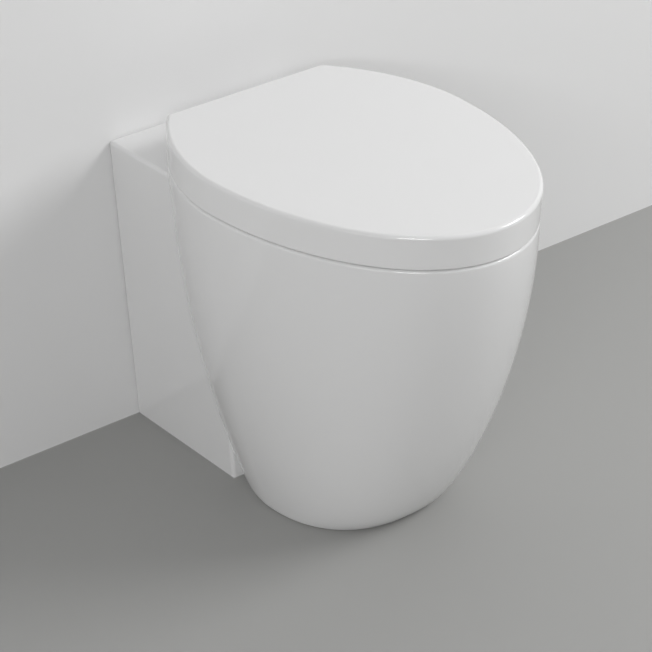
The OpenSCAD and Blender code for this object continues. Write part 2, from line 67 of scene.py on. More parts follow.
KNUCKLE_W, KNUCKLE_R, BARREL_R, BUSH_R, DAMPER_R, DAMPER_L = 12, 7.5, 8.5, 5.05, 6.5, 27
FIXING_HOLE_R, BOLT_BEHIND, SHELF_H, SHELF_T, CLAMP_HOLE_R, CLAMP_X = 8, 15, 60, 12, 5, 77.5
BUFFER_INSET, RING_BUFFER_ANGLES = 24, (38, 52)
RUNNING, SIDE_GAP, SWING, PAST = 0.05, 0.5, 7, 1

# The smooth skins follow the photograph more closely: a fuller rim, and a cover that leans out less in front.
SKIN_FRONT_POWER, SKIN_REAR_POWER, SKIN_FLARE = 1.99, 1.835, 3.5

WALL_Y = (RIM_REACH + COVER_FLARE) / 2
PLAN_H = RIM_H + SEAT_GAP / 2
COVER_Z = RIM_H + SEAT_GAP
COVER_TOP = COVER_Z + COVER_H
RING_Z = RIM_H + RING_LIFT
RING_TOP = RING_Z + RING_T
SEAT_BACK_Y = WALL_Y - SEAT_BACK
HINGE_Y = SEAT_BACK_Y + HINGE_BEHIND
HINGE_Z = RIM_H + HINGE_LIFT
BOLT_Y = HINGE_Y + BOLT_BEHIND
RING_KNUCKLE = (HINGE_X - POST_W / 2 - SIDE_GAP - KNUCKLE_W, HINGE_X - POST_W / 2 - SIDE_GAP)
COVER_KNUCKLE = (HINGE_X + POST_W / 2 + SIDE_GAP, HINGE_X + POST_W / 2 + SIDE_GAP + KNUCKLE_W)
DAMPER = (RING_KNUCKLE[0] - SIDE_GAP - DAMPER_L, RING_KNUCKLE[0] - SIDE_GAP)
BLOCK_LEAN = (BLOCK_TOP_W - BLOCK_FOOT_W) / 2 / BLOCK_H
RING_BACK = math.hypot(HINGE_BEHIND + SKIRT_T, HINGE_Z - COVER_Z) + SWING - HINGE_BEHIND - SKIRT_T - RING_GAP

# ---- Outlines ----

FRONT_STEPS, REAR_STEPS, CORNER_STEPS, BACK_STEPS, CURVE_POINTS = 44, 28, 6, 8, 241
PAN_CORNER, SEAT_CORNER, ELLIPSE = 5, 2, 2
BOWL_SIDE_SWELL, BOWL_FRONT_SWELL, BOWL_REAR_SWELL = (2.6, 1.5), (2.2, 1.4), (2, 1.3)


def resample(points, steps):
    """Points at even distances along a line, both ends included."""
    run = np.concatenate([[0], np.cumsum(np.linalg.norm(np.diff(points, axis=0), axis=1))])
    stops = np.linspace(0, run[-1], steps + 1)
    return np.column_stack([np.interp(stops, run, points[:, k]) for k in range(points.shape[1])])


def lobe(side, reach, power, degrees):
    """Points on a quarter of a superellipse; 0 degrees is its tip and 90 degrees its widest place."""
    a = np.radians(degrees)
    return np.column_stack([side * np.sin(a) ** (2 / power), reach * np.abs(np.cos(a)) ** (2 / power)])


def egg(side, front, rear, front_p, rear_p, mid_y, rear_cut, corner=PAN_CORNER):
    """Closed egg outline from its front tip round the right side; its rear is straight, with soft corners."""
    ahead = lobe(side, front, front_p, np.linspace(0, 90, CURVE_POINTS)) * [1, -1] + [0, mid_y]
    stop = math.degrees(math.asin(min(1, rear_cut / rear) ** (rear_p / 2)))
    behind = lobe(side, rear, rear_p, 90 - np.linspace(0, stop, CURVE_POINTS)) + [0, mid_y]
    tip = behind[-1]
    parts = [resample(ahead, FRONT_STEPS)[:-1]]
    if tip[0] > 2 * corner:
        behind = behind[np.linalg.norm(behind - tip, axis=1) >= corner]
        flat = tip - [corner, 0]
        t = np.linspace(0, 1, CORNER_STEPS + 1)[:, None]
        bend = (1 - t) ** 2 * behind[-1] + 2 * t * (1 - t) * tip + t**2 * flat
        parts += [resample(behind, REAR_STEPS)[:-1], bend[:-1]]
        parts += [resample(np.array([flat, [0, tip[1]]]), BACK_STEPS)]
    else:
        parts += [resample(behind, REAR_STEPS + CORNER_STEPS + BACK_STEPS)]
    half = np.vstack(parts)
    half[0, 0] = half[-1, 0] = 0
    return np.vstack([half, (half[1:-1] * [-1, 1])[::-1]])


def seat_plan(inset, flare=0, back=0):
    """Outline of the cover, drawn in by inset, with its front and its back edge moved by flare and back."""
    return egg(PAN_W / 2 - inset, RIM_REACH - WIDEST - inset + flare, REAR_REACH - inset, SKIN_FRONT_POWER,
               SKIN_REAR_POWER, WALL_Y - WIDEST, WIDEST - SEAT_BACK - inset - back, SEAT_CORNER)


def swell(u, early, lift):
    """Share of the full growth that a wall has reached at the share u of its height."""
    return (1 - (1 - u) ** early) ** (1 / lift)


def skirt_plan(z, inset):
    """Outline of the egg skirt at a height; the skins' fuller plan comes in near the rim."""
    u = min(1, max(0, z / PLAN_H))
    side = FOOT_W / 2 + (PAN_W - FOOT_W) / 2 * swell(u, SIDE_SWELL, SIDE_LIFT)
    reach = FOOT_REACH + (RIM_REACH - FOOT_REACH) * swell(u, FRONT_SWELL, FRONT_LIFT)
    mid = FOOT_WIDEST + (WIDEST - FOOT_WIDEST) * u
    near_rim = u**4
    front_p = FOOT_POWER + (FRONT_POWER - FOOT_POWER) * u + (SKIN_FRONT_POWER - FRONT_POWER) * near_rim
    rear_p = REAR_POWER + (SKIN_REAR_POWER - REAR_POWER) * near_rim
    return egg(side - inset, reach - mid - inset, REAR_REACH * side * 2 / PAN_W - inset, front_p, rear_p,
               WALL_Y - mid, mid - SEAT_BACK - inset)


def bowl_plan(z, grow):
    """Outline of the bowl at a height, from the round sump to the oval mouth."""
    u = min(1, max(0, (z - SUMP_H) / (RIM_H - SUMP_H)))
    side = SUMP_R + (PAN_W / 2 - RIM_W - SUMP_R) * swell(u, *BOWL_SIDE_SWELL)
    front = SUMP_R + (RIM_REACH - RIM_W - BOWL_WIDEST - SUMP_R) * swell(u, *BOWL_FRONT_SWELL)
    rear = SUMP_R + (BOWL_WIDEST - BOWL_REAR - SUMP_R) * swell(u, *BOWL_REAR_SWELL)
    mid = TRAP_FALL + (BOWL_WIDEST - TRAP_FALL) * u
    return egg(side + grow, front + grow, rear + grow, ELLIPSE, ELLIPSE, WALL_Y - mid, rear + grow)


def ring_hole(grow):
    """Outline of the seat ring's aperture."""
    inset = SKIRT_T + RING_GAP - grow
    rear = BOWL_WIDEST - RING_HOLE_REAR + grow
    return egg(PAN_W / 2 - inset - RING_W, RIM_REACH - BOWL_WIDEST - inset - RING_FRONT_W, rear, ELLIPSE,
               ELLIPSE, WALL_Y - BOWL_WIDEST, rear)


def block_plan(half_w, front_y, back_y, front_r, back_r):
    """Closed outline of the rear block, with its front and back corners rounded."""
    points = []
    for x, y, r, start in ((half_w, front_y, front_r, -90), (half_w, back_y, back_r, 0),
                           (-half_w, back_y, back_r, 90), (-half_w, front_y, front_r, 180)):
        middle = np.array([x - math.copysign(r, x), y + r if y == front_y else y - r])
        for a in np.radians(np.linspace(start, start + 90, CORNER_STEPS + 1)):
            points.append(middle + r * np.array([math.cos(a), math.sin(a)]))
    return np.array(points)


def at(plan, z):
    """A plan's points at one height."""
    return np.column_stack([plan, np.full(len(plan), float(z))])


# ---- Meshes ----

SHARP_ANGLE, NEAR, LEAST_AGREEMENT = 38, 2e-5, 0.5
FOOT_ANGLES, QUARTER_ANGLES = np.radians((90, 60, 30)), np.radians((0, 30, 60, 90))


def make_object(name, vertices, faces):
    """A mesh object in metres whose faces point outwards."""
    mesh = bpy.data.meshes.new(name)
    mesh.from_pydata((np.asarray(vertices) * MM).tolist(), [], faces)
    bm = bmesh.new()
    bm.from_mesh(mesh)
    if bm.calc_volume(signed=True) < 0:
        bmesh.ops.reverse_faces(bm, faces=bm.faces)
    bm.to_mesh(mesh)
    bm.free()
    obj = bpy.data.objects.new(name, mesh)
    bpy.context.scene.collection.objects.link(obj)
    return obj


def skin(name, rings, loop=False):
    """Quads between rings of points; a loop joins the last ring to the first, else both ends are closed."""
    k, n = len(rings[0]), len(rings)
    around = range(n if loop else n - 1)
    faces = [[r * k + i, r * k + (i + 1) % k, (r + 1) % n * k + (i + 1) % k, (r + 1) % n * k + i]
             for r in around for i in range(k)]
    if not loop:
        faces += [list(range(k))[::-1], [(n - 1) * k + i for i in range(k)]]
    return make_object(name, np.vstack(rings), faces)


def bar(name, axis, r, low, high, a, b, edge=0.0, steps=48):
    """Round bar along an axis, with its two rims rounded by edge; a and b place it on the other two axes."""
    turn = np.linspace(0, 2 * math.pi, steps, endpoint=False)
    if edge:
        quarter = [(edge * (1 - math.sin(q)), r - edge * (1 - math.cos(q))) for q in QUARTER_ANGLES]
        profile = [(low + drop, radius) for drop, radius in quarter[::-1]]
        profile += [(high - drop, radius) for drop, radius in quarter]
    else:
        profile = [(low, r), (high, r)]
    rings = []
    for s, radius in profile:
        u, v, w = radius * np.cos(turn), radius * np.sin(turn), np.full(steps, float(s))
        rings.append({"x": np.column_stack([w, a + u, b + v]), "y": np.column_stack([a + u, w, b + v]),
                      "z": np.column_stack([a + u, b + v, w])}[axis])
    return skin(name, rings)


def brick(name, low, high, edge=0.0):
    """Upright block between two corners, its upright edges rounded by edge."""
    (x0, y0, z0), (x1, y1, z1) = low, high
    middle_x, half = (x0 + x1) / 2, (x1 - x0) / 2
    if edge:
        plan = block_plan(half, y0, y1, edge, edge)
    else:
        plan = np.array([[half, y0], [half, y1], [-half, y1], [-half, y0]])
    plan = plan + [middle_x, 0]
    return skin(name, [at(plan, z0), at(plan, z1)])


def tube(name, r, path, steps=40):
    """Round bar along a path of (y, z) points in the plane x = 0."""
    path = np.array(path, float)
    along = np.gradient(path, axis=0)
    along /= np.linalg.norm(along, axis=1)[:, None]
    turn = np.linspace(0, 2 * math.pi, steps, endpoint=False)
    rings = []
    for (y, z), (ty, tz) in zip(path, along):
        side = r * np.sin(turn)
        rings.append(np.column_stack([r * np.cos(turn), y - tz * side, z + ty * side]))
    return skin(name, rings)


def span(s, x0, x1):
    """A stretch along x on the right (s = 1) or mirrored to the left (s = -1)."""
    return (x0, x1) if s > 0 else (-x1, -x0)


def evaluated_mesh(obj):
    """A new mesh with the object's modifiers applied."""
    depsgraph = bpy.context.evaluated_depsgraph_get()
    return bpy.data.meshes.new_from_object(obj.evaluated_get(depsgraph))


def weighted(obj):
    """The object's mesh with normals that follow its large faces, sharp over SHARP_ANGLE degrees."""
    for polygon in obj.data.polygons:
        polygon.use_smooth = True
    obj.data.set_sharp_from_angle(angle=math.radians(SHARP_ANGLE))
    modifier = obj.modifiers.new("weighted", "WEIGHTED_NORMAL")
    modifier.mode, modifier.keep_sharp = "FACE_AREA", True
    mesh = evaluated_mesh(obj)
    obj.modifiers.remove(modifier)
    return mesh


def combine(base, steps):
    """Joins and cuts solids in turn, and gives the result the smooth normals of the faces it is made of.

    It also returns, for each face of the result, the number of the solid that the face comes from.
    """
    operands = [base] + [other for _, other in steps]
    points, triangles, normals, kinds = [], [], [], []
    offset = 0
    for kind, obj in enumerate(operands):
        mesh = weighted(obj)
        mesh.calc_loop_triangles()
        points += [v.co.copy() for v in mesh.vertices]
        for t in mesh.loop_triangles:
            triangles.append([offset + v for v in t.vertices])
            normals.append([mesh.corner_normals[c].vector.copy() for c in t.loops])
            kinds.append(kind)
        offset += len(mesh.vertices)
    tree = BVHTree.FromPolygons(points, triangles)
    for operation, other in steps:
        modifier = base.modifiers.new(operation, "BOOLEAN")
        modifier.operation, modifier.solver, modifier.object = operation, "MANIFOLD", other
    mesh = evaluated_mesh(base)
    base.modifiers.clear()
    base.data = mesh
    corner_normals = [None] * len(mesh.loops)
    groups = []
    for polygon in mesh.polygons:
        polygon.use_smooth = True
        best, score = None, -1.0
        for _, normal, index, _ in tree.find_nearest_range(polygon.center, NEAR):
            if abs(normal.dot(polygon.normal)) > score:
                best, score = index, abs(normal.dot(polygon.normal))
        if best is None:
            best = tree.find_nearest(polygon.center)[2]
        groups.append(kinds[best])
        a, b, c = (points[v] for v in triangles[best])
        na, nb, nc = normals[best]
        e1, e2 = b - a, c - a
        d11, d12, d22 = e1.dot(e1), e1.dot(e2), e2.dot(e2)
        scale = d11 * d22 - d12 * d12
        for loop in polygon.loop_indices:
            p = mesh.vertices[mesh.loops[loop].vertex_index].co - a
            d1, d2 = p.dot(e1), p.dot(e2)
            v = (d22 * d1 - d12 * d2) / scale if scale else 0
            w = (d11 * d2 - d12 * d1) / scale if scale else 0
            normal = (na * (1 - v - w) + nb * v + nc * w).normalized()
            if normal.dot(polygon.normal) < 0:
                normal = -normal
            if normal.dot(polygon.normal) < LEAST_AGREEMENT:
                normal = polygon.normal.copy()
            corner_normals[loop] = normal
    mesh.normals_split_custom_set(corner_normals)
    for other in operands[1:]:
        bpy.data.objects.remove(other)
    return base, groups


def up(other):
    """A step that joins a solid."""
    return ("UNION", other)


def cut(other):
    """A step that cuts a solid away."""
    return ("DIFFERENCE", other)


def edge_steps(r, steps=6):
    """(inset, drop) along a quarter round, from the side to the top."""
    a = np.radians(np.linspace(0, 90, steps))
    return list(zip(r * (1 - np.cos(a)), r * (1 - np.sin(a))))


# ---- Pan ----

BLOCK_EDGE, BLOCK_TOP_EDGE, BLOCK_BACK_EDGE, MOUTH_EDGE, FOOT_EDGE = 5, 5, 2, 6, 1.5
INNER_CORNER, INNER_BACK_CORNER, BACK_INSET_SHARE = 4, 0.5, 0.4
SHELF_REACH, SHELF_EDGE, PIPE_EDGE = 16, 2, 2
TRAP_START, TRAP_DIP, BEND_STEPS = 6, 2, 24
SKIRT_STEPS, SKIRT_INNER_STEPS = 64, 40
BOWL_STEPS, BOWL_BUNCH, MOUTH_STEPS = 44, 1.5, 7


def skirt_outer():
    """Outside of the egg skirt, with a small round at its foot and a larger one at its rim."""
    straight = RIM_H - RIM_EDGE
    rings = [at(skirt_plan(0, FOOT_EDGE * (1 - math.cos(a))), FOOT_EDGE * (1 - math.sin(a)))
             for a in FOOT_ANGLES]
    rings += [at(skirt_plan(z, 0), z) for z in np.linspace(FOOT_EDGE, straight, SKIRT_STEPS)]
    rings += [at(skirt_plan(RIM_H - drop, inset), RIM_H - drop) for inset, drop in edge_steps(RIM_EDGE)[1:]]
    return skin("pan", rings)


def skirt_inner():
    """The hollow of the skirt, up to the underside of the rim."""
    top = RIM_H - DECK_T
    rings = [at(skirt_plan(0, WALL_T), -PAST)]
    heights = np.linspace(top / SKIRT_INNER_STEPS, top, SKIRT_INNER_STEPS)
    rings += [at(skirt_plan(z, WALL_T), z) for z in heights]
    return skin("skirt_inner", rings)


def block_half(z):
    """Half width of the tapering block at a height."""
    return BLOCK_FOOT_W / 2 + BLOCK_LEAN * z


def block_outer():
    """Outside of the rear block, with a small round at its foot and a larger one at its top."""

    def outline(half, inset=0.0, back_inset=0.0):
        return block_plan(half - inset, WALL_Y - BLOCK_DEPTH + inset, WALL_Y - back_inset, BLOCK_EDGE,
                          BLOCK_BACK_EDGE)

    rings = []
    for inset in (FOOT_EDGE, FOOT_EDGE / 2):
        rise = FOOT_EDGE - (FOOT_EDGE**2 - (FOOT_EDGE - inset) ** 2) ** 0.5
        rings.append(at(outline(block_half(0), inset), rise))
    for z in (FOOT_EDGE, BLOCK_H - BLOCK_TOP_EDGE):
        rings.append(at(outline(block_half(z)), z))
    for inset, drop in edge_steps(BLOCK_TOP_EDGE)[1:]:
        z = BLOCK_H - drop
        rings.append(at(outline(block_half(z), inset, inset * BACK_INSET_SHARE), z))
    return skin("block", rings)


def block_inner():
    """The hollow of the block, open at its foot and towards the wall."""
    front = WALL_Y - (BLOCK_DEPTH - WALL_T)
    rings = []
    for z in (-PAST, BLOCK_H - DECK_T):
        plan = block_plan(block_half(z) - WALL_T, front, WALL_Y + PAST, INNER_CORNER, INNER_BACK_CORNER)
        rings.append(at(plan, z))
    return skin("block_inner", rings)


def bowl(name, grow, low, top, mouth=0.0):
    """The bowl from its sump to its top, which opens out by a round where mouth is given."""
    heights = low + (top - mouth - low) * np.linspace(0, 1, BOWL_STEPS) ** BOWL_BUNCH
    rings = [at(bowl_plan(z, grow), z) for z in heights]
    if mouth:
        for inset, drop in edge_steps(mouth, MOUTH_STEPS)[1:]:
            rings.append(at(bowl_plan(RIM_H, grow + inset), RIM_H - drop))
        rings.append(at(bowl_plan(RIM_H, grow + mouth), top + PAST))
    return skin(name, rings)


def trap(name, r):
    """The trap: down from the sump, round a U bend, up, and over its crown to the spigot."""
    fall_y, rise_y = WALL_Y - TRAP_FALL, WALL_Y - TRAP_FALL + 2 * TRAP_BEND
    bend_z, crown_z = SUMP_H - TRAP_DIP, OUTLET_H - CROWN_BEND
    path = [(fall_y, SUMP_H + TRAP_START)]
    path += [(fall_y + TRAP_BEND - TRAP_BEND * math.cos(a), bend_z - TRAP_BEND * math.sin(a))
             for a in np.linspace(0, math.pi, BEND_STEPS + 1)]
    path += [(rise_y + CROWN_BEND - CROWN_BEND * math.cos(a), crown_z + CROWN_BEND * math.sin(a))
             for a in np.linspace(0, math.pi / 2, BEND_STEPS // 2 + 1)]
    path += [(WALL_Y - SPIGOT_BACK - SPIGOT_L + PAST, OUTLET_H)]
    return tube(name, r, path)


def make_pan():
    """The whole pan: skirt, block, bowl, trap, spigot, socket and shelves, with their hollows cut last."""
    spigot_y, spigot_end = WALL_Y - SPIGOT_BACK - SPIGOT_L, WALL_Y - SPIGOT_BACK
    socket_y, socket_end = WALL_Y - SOCKET_BACK - SOCKET_L, WALL_Y - SOCKET_BACK
    socket_out, duct_y = WALL_Y - BOWL_REAR, WALL_Y - BOWL_WIDEST
    spigot_bore_r, spigot_bore_y = SPIGOT_R - TRAP_T, spigot_y + TRAP_T
    shelf_in = CLAMP_X - SHELF_REACH
    shelf_out = BLOCK_FOOT_W / 2 + BLOCK_LEAN * SHELF_H - WALL_T / 2
    steps = [up(block_outer()),
             cut(skirt_inner()),
             cut(block_inner()),
             up(bowl("bowl_outer", BOWL_T, SUMP_H - BOWL_T, RIM_H - PAST)),
             up(trap("trap_outer", TRAP_R + TRAP_T)),
             up(bar("spigot", "y", SPIGOT_R, spigot_y, spigot_end, 0, OUTLET_H, PIPE_EDGE)),
             up(bar("socket", "y", SOCKET_R + BOWL_T, socket_out, socket_end, 0, INLET_H, PIPE_EDGE))]
    for s in (1, -1):
        x0, x1 = span(s, shelf_in, shelf_out)
        low = (x0, BOLT_Y - SHELF_REACH, SHELF_H)
        steps.append(up(brick("shelf", low, (x1, BOLT_Y + SHELF_REACH, SHELF_H + SHELF_T), SHELF_EDGE)))
    steps += [cut(bowl("bowl_inner", 0, SUMP_H, RIM_H, MOUTH_EDGE)),
              cut(trap("trap_inner", TRAP_R)),
              cut(bar("spigot_bore", "y", spigot_bore_r, spigot_bore_y, spigot_end + PAST, 0, OUTLET_H)),
              cut(bar("socket_bore", "y", SOCKET_R, socket_y, socket_end + PAST, 0, INLET_H)),
              cut(bar("duct", "y", DUCT_R, duct_y, socket_y + PAST, 0, INLET_H))]
    for s in (1, -1):
        low, high = BLOCK_H - DECK_T - PAST, BLOCK_H + PAST
        steps.append(cut(bar("fixing_hole", "z", FIXING_HOLE_R, low, high, s * HINGE_X, BOLT_Y)))
        low, high = SHELF_H - PAST, SHELF_H + SHELF_T + PAST
        steps.append(cut(bar("clamp_hole", "z", CLAMP_HOLE_R, low, high, s * CLAMP_X, BOLT_Y)))
    return combine(skirt_outer(), steps)


# ---- Cover and seat ring ----

LOWER_EDGE, INNER_EDGE, BACK_SHARPNESS, COVER_DROP = 0.8, 3, 0.6, 1.4
COVER_LOW = COVER_Z - COVER_DROP
SIDE_STEPS, ROUND_STEPS = 8, 9
KNUCKLE_EDGE, BARREL_EDGE, NOTCH_ROOM = 0.8, 1, 1.5
RING_EDGE, RING_LIP, LIP_SHARE = 6, 1, 0.3
ARM_LIFT, ARM_T, BOSS_R = 2, 9, 9
LINK_DROP, LINK_LAP, BORE_END = 0.5, 2, 0.01


def slab(name, inset, z0, z1, edge, flare, lower):
    """The cover's plan raised between two heights, with its front flared and its two edges rounded."""

    def flare_at(z):
        return flare * (z - z0) / (z1 - z0)

    rings = []
    if lower:
        rings += [at(seat_plan(inset + lower * (1 - math.cos(a))), z0 + lower * (1 - math.sin(a)))
                  for a in FOOT_ANGLES]
    rings += [at(seat_plan(inset, flare_at(z)), z) for z in np.linspace(z0 + lower, z1 - edge, SIDE_STEPS)]
    rings += [at(seat_plan(inset + e, flare_at(z1 - edge), -e * BACK_SHARPNESS), z1 - drop)
              for e, drop in edge_steps(edge, ROUND_STEPS)[1:]]
    return skin(name, rings)


def hinge_bar(name, r, x0, x1, edge=0.0):
    """Round bar on the hinge's axis."""
    return bar(name, "x", r, x0, x1, HINGE_Y, HINGE_Z, edge)


def make_cover():
    """The cover: a hollow slab with knuckles and a damper's barrel, and notches for the ring's knuckles."""
    arm_y = SEAT_BACK_Y - SKIRT_T / 2
    steps = [cut(slab("cover_inner", SKIRT_T, COVER_LOW - PAST, COVER_TOP - COVER_T, INNER_EDGE, 0, 0))]
    for s in (1, -1):
        x0, x1 = span(s, *COVER_KNUCKLE)
        steps.append(up(hinge_bar("knuckle", KNUCKLE_R, x0, x1, KNUCKLE_EDGE)))
        steps.append(up(brick("arm", (x0, arm_y, HINGE_Z), (x1, HINGE_Y, HINGE_Z + KNUCKLE_R))))
    x0, x1 = DAMPER
    steps.append(up(hinge_bar("barrel", BARREL_R, x0, x1, BARREL_EDGE)))
    steps.append(up(brick("barrel_arm", (x0, arm_y, HINGE_Z), (x1, HINGE_Y, HINGE_Z + BARREL_R))))
    for s in (1, -1):
        x0, x1 = span(s, RING_KNUCKLE[0] - NOTCH_ROOM, RING_KNUCKLE[1] + NOTCH_ROOM)
        low = (x0, SEAT_BACK_Y - SKIRT_T - PAST, COVER_LOW - PAST)
        steps.append(cut(brick("notch", low, (x1, SEAT_BACK_Y + PAST, HINGE_Z))))
        x0, x1 = span(s, COVER_KNUCKLE[0] - PAST, COVER_KNUCKLE[1] + PAST)
        steps.append(cut(hinge_bar("bore", BUSH_R + RUNNING, x0, x1)))
    x0, x1 = DAMPER
    steps.append(cut(hinge_bar("damper_bore", DAMPER_R + RUNNING, x0 - PAST, x1 + PAST)))
    return combine(slab("cover", 0, COVER_LOW, COVER_TOP, COVER_EDGE, SKIN_FLARE, LOWER_EDGE), steps)


def ring_body():
    """The ring's closed section carried round between its outer outline and its aperture."""

    def outer(inset, z):
        return at(seat_plan(SKIRT_T + RING_GAP + inset, 0, RING_BACK), z)

    def inner(grow, z):
        return at(ring_hole(grow), z)

    ceiling = RING_TOP - RING_WALL
    small = RING_LIP * LIP_SHARE
    rings = [outer(RING_LIP, RING_Z), outer(small, RING_Z + small), outer(0, RING_Z + RING_LIP)]
    rings += [outer(e, RING_TOP - drop) for e, drop in edge_steps(RING_EDGE, ROUND_STEPS)]
    rings += [inner(e, RING_TOP - drop) for e, drop in edge_steps(RING_EDGE, ROUND_STEPS)[::-1]]
    rings += [inner(0, RING_Z + RING_LIP), inner(small, RING_Z + small), inner(RING_LIP, RING_Z)]
    rings += [inner(RING_WALL, RING_Z), inner(RING_WALL, ceiling)]
    rings += [outer(RING_WALL, ceiling), outer(RING_WALL, RING_Z)]
    return skin("seat_ring", rings, loop=True)


def buffer_places(angles):
    """Places of a front and a rear buffer, on the egg that lies BUFFER_INSET inside the rim."""
    side = PAN_W / 2 - BUFFER_INSET
    front = lobe(side, RIM_REACH - WIDEST - BUFFER_INSET, FRONT_POWER, angles[0])[0]
    rear = lobe(side, REAR_REACH - BUFFER_INSET, REAR_POWER, angles[1])[0]
    mid_y = WALL_Y - WIDEST
    return [(front[0], mid_y - front[1]), (rear[0], mid_y + rear[1])]


def make_seat_ring():
    """The seat ring: its hollow section, bosses over its buffers, arms, knuckles and damper's barrel."""
    arm_z = RING_Z + ARM_LIFT
    arm_y = SEAT_BACK_Y - SKIRT_T - RING_GAP - RING_BACK - RING_WALL / 2
    steps = []
    for s in (1, -1):
        for x, y in buffer_places(RING_BUFFER_ANGLES):
            steps.append(up(bar("boss", "z", BOSS_R, RING_Z, RING_TOP - RING_WALL / 2, s * x, y)))
        x0, x1 = span(s, *RING_KNUCKLE)
        steps.append(up(brick("arm", (x0, arm_y, arm_z), (x1, HINGE_Y, arm_z + ARM_T))))
        steps.append(up(hinge_bar("knuckle", KNUCKLE_R, x0, x1, KNUCKLE_EDGE)))
    steps.append(up(hinge_bar("barrel", BARREL_R, *span(-1, *DAMPER), BARREL_EDGE)))
    x0, x1 = span(-1, DAMPER[1] - LINK_LAP, RING_KNUCKLE[0] + LINK_LAP)
    steps.append(up(hinge_bar("link", KNUCKLE_R - LINK_DROP, x0, x1)))
    for s in (1, -1):
        x0, x1 = span(s, RING_KNUCKLE[0] - PAST, RING_KNUCKLE[1] + PAST)
        steps.append(cut(hinge_bar("bore", BUSH_R + RUNNING, x0, x1)))
    x0, x1 = span(-1, DAMPER[0] - PAST, DAMPER[1] + BORE_END)
    steps.append(cut(hinge_bar("damper_bore", DAMPER_R + RUNNING, x0, x1)))
    return combine(ring_body(), steps)


pan, pan_groups = make_pan()
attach(pan, "pan")
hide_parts("pan")
cover, _ = make_cover()
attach(cover, "cover")
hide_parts("cover")
seat_ring, _ = make_seat_ring()
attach(seat_ring, "seat_ring")
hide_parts("seat_ring")
for new, name in ((pan, "pan_glazed"), (cover, "cover_moulded"), (seat_ring, "seat_ring_moulded")):
    new.name = name

# ---- Materials ----

COAT_ROUGHNESS, BUMP_HEIGHT, RAMP_FROM, RAMP_TO = 0.04, 0.001, 0.3, 0.7
BROAD_SHARE, BROAD_DETAIL, FINE_DETAIL, BUMP_DETAIL = 10, 3, 4, 2


def material(name, color, roughness, metallic=0.0, coat=0.0, vary=0.03, grain=40, bump=0.02, bump_scale=300,
             stretch=(1, 1, 1), rough_vary=0.05):
    """Principled surface whose colour, roughness and height vary with noise over the object."""
    m = bpy.data.materials.new(name)
    m.use_nodes = True
    nodes, links = m.node_tree.nodes, m.node_tree.links
    shader = nodes["Principled BSDF"]
    shader.inputs["Metallic"].default_value = metallic
    shader.inputs["Coat Weight"].default_value = coat
    shader.inputs["Coat Roughness"].default_value = COAT_ROUGHNESS
    place = nodes.new("ShaderNodeTexCoord")
    scale = nodes.new("ShaderNodeMapping")
    scale.inputs["Scale"].default_value = stretch
    links.new(place.outputs["Object"], scale.inputs["Vector"])

    def noise(size, detail):
        n = nodes.new("ShaderNodeTexNoise")
        n.inputs["Scale"].default_value = size
        n.inputs["Detail"].default_value = detail
        links.new(scale.outputs["Vector"], n.inputs["Vector"])
        return n

    broad = noise(grain / BROAD_SHARE, BROAD_DETAIL)
    fine = noise(grain, FINE_DETAIL)
    ramp = nodes.new("ShaderNodeValToRGB")
    dark = [c * (1 - vary) for c in color]
    ramp.color_ramp.elements[0].color = (*dark, 1)
    ramp.color_ramp.elements[1].color = (*color, 1)
    ramp.color_ramp.elements[0].position = RAMP_FROM
    ramp.color_ramp.elements[1].position = RAMP_TO
    links.new(broad.outputs["Fac"], ramp.inputs["Fac"])
    links.new(ramp.outputs["Color"], shader.inputs["Base Color"])
    rough = nodes.new("ShaderNodeMapRange")
    rough.inputs["To Min"].default_value = max(0, roughness - rough_vary)
    rough.inputs["To Max"].default_value = roughness + rough_vary
    links.new(fine.outputs["Fac"], rough.inputs["Value"])
    links.new(rough.outputs["Result"], shader.inputs["Roughness"])
    relief = nodes.new("ShaderNodeBump")
    relief.inputs["Strength"].default_value = bump
    relief.inputs["Distance"].default_value = BUMP_HEIGHT
    height = noise(bump_scale, BUMP_DETAIL)
    links.new(height.outputs["Fac"], relief.inputs["Height"])
    links.new(relief.outputs["Normal"], shader.inputs["Normal"])
    return m


GLAZE = material("glaze", (0.80, 0.80, 0.80), 0.08, vary=0.012, bump=0.02, bump_scale=120, rough_vary=0.02)
BISQUE = material("bisque", (0.62, 0.58, 0.53), 0.7, vary=0.1, bump=0.3, bump_scale=500, rough_vary=0.1)
SEAT = material("seat_plastic_gloss", (0.82, 0.82, 0.82), 0.09, vary=0.01, bump=0.01, bump_scale=90,
                rough_vary=0.02)
CHROME = material("chrome_polished", (0.75, 0.76, 0.77), 0.08, metallic=1, vary=0.04, bump=0.02,
                  rough_vary=0.04)
STEEL = material("steel_zinc", (0.52, 0.53, 0.55), 0.32, metallic=1, vary=0.15, grain=120, bump=0.08,
                 stretch=(1, 1, 12), rough_vary=0.1)
NYLON = material("nylon_natural", (0.78, 0.76, 0.70), 0.45, vary=0.05, bump=0.08)
DAMPER_BLACK = material("damper_black", (0.03, 0.03, 0.033), 0.4, vary=0.2, bump=0.1)
RUBBER = material("rubber_black", (0.035, 0.035, 0.035), 0.7, vary=0.25, bump=0.25, bump_scale=700,
                  rough_vary=0.12)
BRASS = material("brass_turned", (0.72, 0.52, 0.22), 0.25, metallic=1, vary=0.12, grain=160, bump=0.06,
                 stretch=(1, 1, 10))
BUFFER = material("buffer_soft_white", (0.78, 0.78, 0.76), 0.5, vary=0.04, bump=0.08)
PIPE = material("pipe_white", (0.80, 0.80, 0.79), 0.25, vary=0.02, bump=0.04)

BY_SLOT = {"glazed_ceramic": GLAZE, "seat_plastic": SEAT, "chrome": CHROME, "steel": STEEL, "nylon": NYLON,
           "damper_plastic": DAMPER_BLACK, "rubber": RUBBER, "brass": BRASS, "buffer_plastic": BUFFER,
           "pipe_plastic": PIPE}


